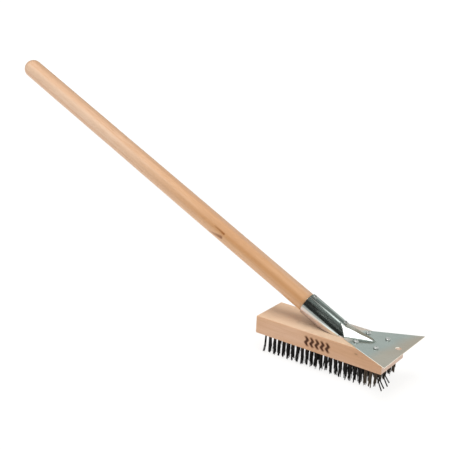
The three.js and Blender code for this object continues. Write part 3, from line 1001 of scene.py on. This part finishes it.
def build_scraper():
    overlap = -0.45  # the blade runs this far into the tube
    sheet = build_sheet()
    boolean(sheet, crease_box(ahead=False, shift=overlap))
    boolean(sheet, build_tube(), "UNION")
    shell = rod(SOCKET_BORE - 0.02, 20, 95, RIM, AXIS, UP, segments=160)
    bore = solid("cutter", shell, SHEET_STEEL)
    boolean(bore, crease_box(ahead=True, shift=overlap))
    only_material(bore, SHEET_STEEL)
    boolean(sheet, bore)
    z0, z1 = TOP - 3, TOP + 5
    holes = [upright_hole(x, y, z0, z1, 2.05, segments=24) for x, y, *_ in PLATE_SCREWS]
    holes.append(upright_hole(201.0, 2.0, z0, z1, 4.0, segments=40))  # near the front edge
    holes += [
        rod(1.8, SOCKET_R - 5, SOCKET_R + 5, RIM + AXIS * down, UP, AXIS, segments=24)
        for _, down, _ in SOCKET_SCREWS
    ]
    boolean(sheet, solid("cutter", joined(holes), SHEET_STEEL))
    finish(sheet, angle=34)
    place(sheet, "scraper_socket")


# ------------------------------------------------------------------ screws
def screw_profile(head_r, head_h, shank_r, shank):
    pitch, root_r = 1.25, shank_r * 0.82
    z = -shank + shank_r * 1.6
    profile = [(-shank, 0.0), (z, shank_r * 0.9)]
    for _ in range(int((shank - 3.2) / pitch)):
        profile += [(z + 0.35, root_r), (z + 0.62, shank_r), (z + 0.90, root_r)]
        z += pitch
    profile += [(-0.6, shank_r * 0.92), (0.0, shank_r * 0.92)]
    profile += [(0.0, head_r - 0.25), (0.07, head_r - 0.06), (0.22, head_r)]
    steps = 14
    for i in range(1, steps + 1):
        angle = i / steps * math.pi / 2
        radius = head_r * math.cos(angle) ** 0.62 if i < steps else 0.0
        profile.append((0.30 + (head_h - 0.30) * math.sin(angle) ** 0.92, radius))
    return profile


def screw_mesh(name, head_r, head_h, shank_r, shank):
    """Pan head with a cross recess, its underside at z = 0, on a threaded shank."""
    profile = screw_profile(head_r, head_h, shank_r, shank)
    screw = solid(name, turned(profile, (0, 0, 0), (0, 0, 1), (1, 0, 0), 40), SCREW_STEEL)
    arm, half_slot = head_r * 0.52, 0.46
    corners = ((arm, -half_slot * 0.82), (arm, half_slot * 0.82), (half_slot, half_slot))
    cross = []
    for k in range(4):
        cos, sin = math.cos(k * math.pi / 2), math.sin(k * math.pi / 2)
        cross += [(x * cos - y * sin, x * sin + y * cos) for x, y in corners]
    # the recess narrows with depth
    recess = prism(
        cross,
        lambda point: (point[0] * 0.55, point[1] * 0.55, head_h * 0.28),
        lambda point: (point[0] * 1.08, point[1] * 1.08, head_h + 0.5),
    )
    boolean(screw, solid("cutter", recess, SCREW_STEEL))
    return screw


def set_screw(piece, source, at, up, side, turn):
    first = side * math.cos(turn) + np.cross(up, side) * math.sin(turn)
    second = np.cross(up, first)
    mesh = source.data.copy()
    screw = bpy.data.objects.new(piece + "_fine", mesh)
    SCENE.collection.objects.link(screw)
    pose = Matrix.Identity(4)
    for i in range(3):
        pose[i] = (first[i], second[i], up[i], at[i])
    mesh.transform(pose)
    finish(screw, angle=35)
    place(screw, piece)


def build_screws():
    source = screw_mesh("screw_a", head_r=3.6, head_h=2.4, shank_r=1.75, shank=13.3)
    for i, (x, y, tilt_x, tilt_y, turn) in enumerate(PLATE_SCREWS):
        up = np.array([tilt_x, tilt_y, 1.0])
        up /= np.linalg.norm(up)
        side = np.array([1.0, 0.0, 0.0]) - up * up[0]
        side /= np.linalg.norm(side)
        set_screw(f"plate_screw_{i + 1}", source, (x, y, BLADE_TOP), up, side, turn)
    bpy.data.objects.remove(source)
    source = screw_mesh("screw_b", head_r=3.2, head_h=2.2, shank_r=1.5, shank=11.0)
    for piece, down, turn in SOCKET_SCREWS:
        at = RIM + AXIS * down + UP * (SOCKET_R - 0.05)
        set_screw(piece, source, at, UP, AXIS, turn)
    bpy.data.objects.remove(source)


# ------------------------------------------------------------------ bristles
WIRE_WIDTH, WIRE_THICK = 0.92, 0.36
WIRE_ROOT = -4.0  # inside the block
REACH = BOTTOM - WIRE_END
# by place at the front: 0 for most rows, then 1, 2, 3 for the last three
FRONT_LEAN = (0.0, 0.0, 0.01, -0.05)
FRONT_TONE = (0.0, 0.30, 0.45, 0.50)
FRONT_WORN = (0.0, 1.2, 3.0, 5.5)
# wires that use has bent out over the front end, counting rows and tufts from 0:
# (row, tuft): (start dx, dy, tip x, y, z)
SPLAYED = {
    (23, 0): [(-0.9, 0.5, 196.2, -26.3, -37.7), (1.2, -0.2, 199.1, -26.0, -33.2)],
    (23, 1): [(0.3, -0.4, 198.0, -13.2, -36.0), (1.3, 0.3, 199.8, -12.7, -30.2)],
    (23, 2): [(1.2, 0.2, 192.6, 0.3, -24.5)],
    (22, 0): [(0.9, -0.9, 180.6, -27.5, -38.0)],
}


def unit(value):
    return min(1.0, max(0.0, value))


class Wires:
    """The flat wires of one row, with a tone for each vertex."""

    def __init__(self):
        self.verts, self.faces, self.tones = [], [], []

    def add(self, path, facing, twist, tone):
        base, last = len(self.verts), len(path) - 1
        for i, (x, y, z) in enumerate(path):
            angle = facing + twist * i / last
            cos, sin = math.cos(angle), math.sin(angle)
            for side, face in ((-1, -1), (1, -1), (1, 1), (-1, 1)):
                wide, thick = side * WIRE_WIDTH / 2, face * WIRE_THICK / 2
                slant = side * 0.12 if i == last else 0.0
                self.verts.append(
                    (x + wide * cos - thick * sin, y + wide * sin + thick * cos, z + slant))
                self.tones.append(tone)
        for i in range(last):
            this = base + i * 4
            for j in range(4):
                k = (j + 1) % 4
                self.faces.append((this + j, this + k, this + 4 + k, this + 4 + j))
        self.faces.append((base + 3, base + 2, base + 1, base))
        end = base + last * 4
        self.faces.append((end, end + 1, end + 2, end + 3))


def add_tuft(wires, row, x0, y0):
    """A bunch of wires, close at the hole and parting a little towards their tips."""
    front = max(0, row - (ROWS - 4))
    lean_x, lean_y = rng.gauss(0, 0.022), rng.gauss(0, 0.016)
    if row == 0:
        lean_x -= 0.030
    lean_x += FRONT_LEAN[front]
    rear_tone = {0: 0.45, 1: 0.2}.get(row, 0.0)
    tuft_tone = unit(rng.random() * 0.35 + FRONT_TONE[front] + rear_tone)
    tuft_worn = abs(rng.gauss(0, 2.6)) + FRONT_WORN[front]
    core, count = 4, 10 if row == 0 else 18
    long_ones = rng.sample(range(count), rng.choice((2, 3, 4)))
    for wire in range(count):
        is_long = wire in long_ones
        if wire < core:
            angle = wire / core * 2 * math.pi + rng.uniform(-0.3, 0.3)
            radius = 0.45
        else:
            angle = (wire - core) / (count - core) * 2 * math.pi + rng.uniform(-0.2, 0.2)
            radius = rng.uniform(1.45, 2.0) if row else 1.0
        from_x, from_y = radius * math.cos(angle), radius * math.sin(angle)
        facing = angle + math.pi / 2 + rng.uniform(-0.5, 0.5)
        spread = rng.uniform(0.05, 0.28)
        # a few keep their length; the others are worn, most on the side towards the front
        short = 0.0
        if not is_long:
            short = abs(rng.gauss(0, 2.0))
            short += rng.uniform(1.0, 7.5) if from_x > 0.35 else rng.uniform(0.4, 2.6)
        tip = max(-39.95, -39.7 + tuft_worn * 0.5 + short)
        # the long ones close up again below the others
        pull, back = (0.25, 0.5) if is_long else (0.0, 0.0)
        move_x = lean_x * REACH + from_x * (spread - pull * 1.6) + rng.gauss(0, 0.22) - back
        move_y = lean_y * REACH + from_y * (spread - pull) + rng.gauss(0, 0.22)
        if front >= 2:
            move_x += rng.uniform(-1.2, 1.2)
            move_y += rng.gauss(0, 0.6)
            tip += rng.uniform(0.0, 2.5)
        elif row == 0:
            move_x += rng.uniform(-0.9, 0.2)
        elif not is_long and rng.random() < 0.24:
            move_x += rng.choice((-1, 1)) * rng.uniform(0.8, 2.4)  # a stray between tufts
        bow = rng.gauss(0, 0.28)
        tone = unit(tuft_tone + rng.gauss(0, 0.14))
        twist = rng.gauss(0, 0.25)
        before_tip = -33.5 if tip < -34.5 else (tip - 27.0) / 2
        path = []
        for z in (WIRE_ROOT, BOTTOM, -20.0, -27.0, before_tip, tip):
            t = unit((BOTTOM - z) / REACH)
            x = x0 + from_x + move_x * t ** 1.25 + bow * math.sin(math.pi * t)
            path.append((x, y0 + from_y + move_y * t ** 1.25, z))
        wires.add(path, facing, twist, tone)


def add_splayed(wires, start_x, start_y, tip_x, tip_y, tip_z):
    """Two wires lying against each other, bent out to a tip."""
    steps = 5
    path = [(start_x, start_y, WIRE_ROOT), (start_x, start_y, BOTTOM)]
    for i in range(1, steps + 1):
        t = i / steps
        out = 0.72 * t + 0.28 * t * t
        path.append((start_x + (tip_x - start_x) * out, start_y + (tip_y - start_y) * out,
                     BOTTOM + (tip_z - BOTTOM) * t))
    for offset in (-0.22, 0.22):
        beside = [(x + offset * 0.8, y + offset, z + offset * 2) for x, y, z in path]
        wires.add(beside, facing=0.4 + rng.uniform(-0.2, 0.2), twist=0.2, tone=0.25)


def build_rows():
    for row in range(ROWS):
        wires = Wires()
        for tuft in range(TUFTS):
            x0, y0 = row_x(row), tuft_y(tuft)
            add_tuft(wires, row, x0, y0)
            for from_x, from_y, *tip in SPLAYED.get((row, tuft), ()):
                add_splayed(wires, x0 + from_x, y0 + from_y, *tip)
        piece = f"bristle_row_{row + 1:02d}"
        ob = solid(piece + "_wires", (wires.verts, wires.faces), WIRE)
        own = ob.data.attributes.new("own", "FLOAT", "POINT")
        own.data.foreach_set("value", np.array(wires.tones, np.float32))
        finish(ob, angle=40, loose_wires=True)
        place(ob, piece)


build_block()
build_handle()
build_scraper()
build_screws()
build_rows()


# ------------------------------------------------------------------ stage, in metres
def build_floor():
    half, z = 30, WIRE_END * MM - 0.0002
    corners = [(-half, -half, z), (half, -half, z), (half, half, z), (-half, half, z)]
    floor = make("studio_base", (corners, [(0, 1, 2, 3)]))
    mat = bpy.data.materials.new("pale_paper")
    mat.use_nodes = True
    graph = Graph(mat.node_tree)
    x, y, _ = graph.geometry("Position")
    # takes soft shadows, and glows a little more far from the brush
    far = length(x, y).mask(off=0.5, on=2.2)
    soft = graph.node("BsdfDiffuse", {"Color": (0.2, 0.2, 0.2)})
    glow = graph.node("Emission", {"Color": (1.0, 0.997, 0.992), "Strength": far * 0.14 + 0.87})
    both = graph.node("AddShader", [soft.outputs[0], glow.outputs[0]])
    graph.node("OutputMaterial", [both.outputs[0]])
    floor.data.materials.append(mat)


def room_level(x, y, z):
    """Brightness of the room that polished steel reflects, by direction."""
    # a pale backdrop low behind (+Y)
    behind = z.mask(off=0.42, on=0.6, low=0.5, high=0.215) * z.mask(off=0.1, on=0.36, low=0.78)
    behind = behind + z.mask(off=0.62, on=0.9, high=-0.03)
    # a dark room towards the camera (-Y)
    before = z.mask(off=0.3, on=0.98, low=0.045, high=0.15)
    side = y.mask(off=-0.16, on=0.2)
    level = before * (1 - side) + behind * side
    # lighter towards either end of the brush
    level = level.most(x.mask(off=0.3, on=0.62) * 0.34)
    level = level.most(x.mask(off=-0.45, on=-0.8) * 0.4)
    # a soft box high at the rear and near side, and a narrow overhead strip
    soft_box = x.mask(off=0.05, on=-0.01) * z.mask(off=0.58, on=0.68) * y.mask(off=-0.06, on=-0.2)
    strip = (x.mask(off=0.05, on=0.14) * x.mask(off=0.42, on=0.3)
             * y.mask(off=0.04, on=0.13) * y.mask(off=0.36, on=0.26) * z.mask(off=0.7, on=0.8))
    level = level + soft_box * 2 + strip * 1.15
    # even light from below the horizon
    return z.mask(off=-0.02, on=0.02) * level + z.mask(off=0.02, on=-0.02) * 0.8


def build_world():
    """The room for glossy rays, white for the camera, an even fill for the rest."""
    world = bpy.data.worlds.new("soft_studio")
    SCENE.world = world
    world.use_nodes = True
    graph = Graph(world.node_tree)
    rays = graph.node("LightPath").outputs
    level = room_level(*graph.split(graph.node("TexCoord").outputs["Generated"]))
    tint = mix(level.mask(off=0.1, on=0.9), (0.93, 1.0, 0.955), (0.99, 1.0, 0.995))

    def background(colour, strength):
        return graph.node("Background", {"Color": colour, "Strength": strength}).outputs[0]

    room = background(tint, level)
    fill = background((1.0, 0.99, 0.975), 0.41)
    white = background((1.0, 1.0, 1.0), 1.03)
    unseen = graph.node("MixShader", [rays["Is Glossy Ray"], fill, room])
    seen = graph.node("MixShader", [rays["Is Camera Ray"], unseen.outputs[0], white])
    graph.node("OutputWorld", [seen.outputs[0]])


def area_light(name, at, target, size, watts, colour=(1, 1, 1)):
    light = bpy.data.lights.new(name, "AREA")
    light.shape, light.size, light.energy, light.color = "SQUARE", size, watts, colour
    ob = bpy.data.objects.new(name, light)
    SCENE.collection.objects.link(ob)
    ob.location = at
    ob.rotation_mode = "QUATERNION"
    ob.rotation_quaternion = (Vector(target) - Vector(at)).to_track_quat("-Z", "Y")
    ob.visible_glossy = False
    ob.visible_camera = False


CAMERA_AT = (0.6553, -1.0272, 0.5498)
# rows: the camera's right, down and forward directions
CAMERA_AXES = np.array([
    [0.8046, 0.5927, 0.0359],
    [0.2188, -0.2397, -0.9459],
    [-0.552, 0.7689, -0.3225],
])


def build_camera():
    camera = bpy.data.cameras.new("camera")
    camera.sensor_width, camera.lens = 36.0, 74.82
    camera.clip_start, camera.clip_end = 0.05, 100.0
    ob = bpy.data.objects.new("camera", camera)
    SCENE.collection.objects.link(ob)
    # the nearest exact rotation to the rounded axes
    left, _, right = np.linalg.svd(CAMERA_AXES)
    axes = left @ right
    pose = Matrix.Identity(4)
    for i in range(3):
        pose[i] = (axes[0][i], -axes[1][i], -axes[2][i], CAMERA_AT[i])
    ob.matrix_world = pose
    SCENE.camera = ob


build_floor()
build_world()
area_light("key_light", at=(0.02, -0.06, 1.35), target=(0.02, 0.0, 0.0), size=0.85, watts=10.8,
           colour=(1.0, 0.985, 0.96))
area_light("fill_light", at=(-0.75, -1.15, 1.05), target=(0.0, 0.0, 0.05), size=1.0, watts=4.5)
build_camera()
SCENE.view_settings.view_transform = "Standard"
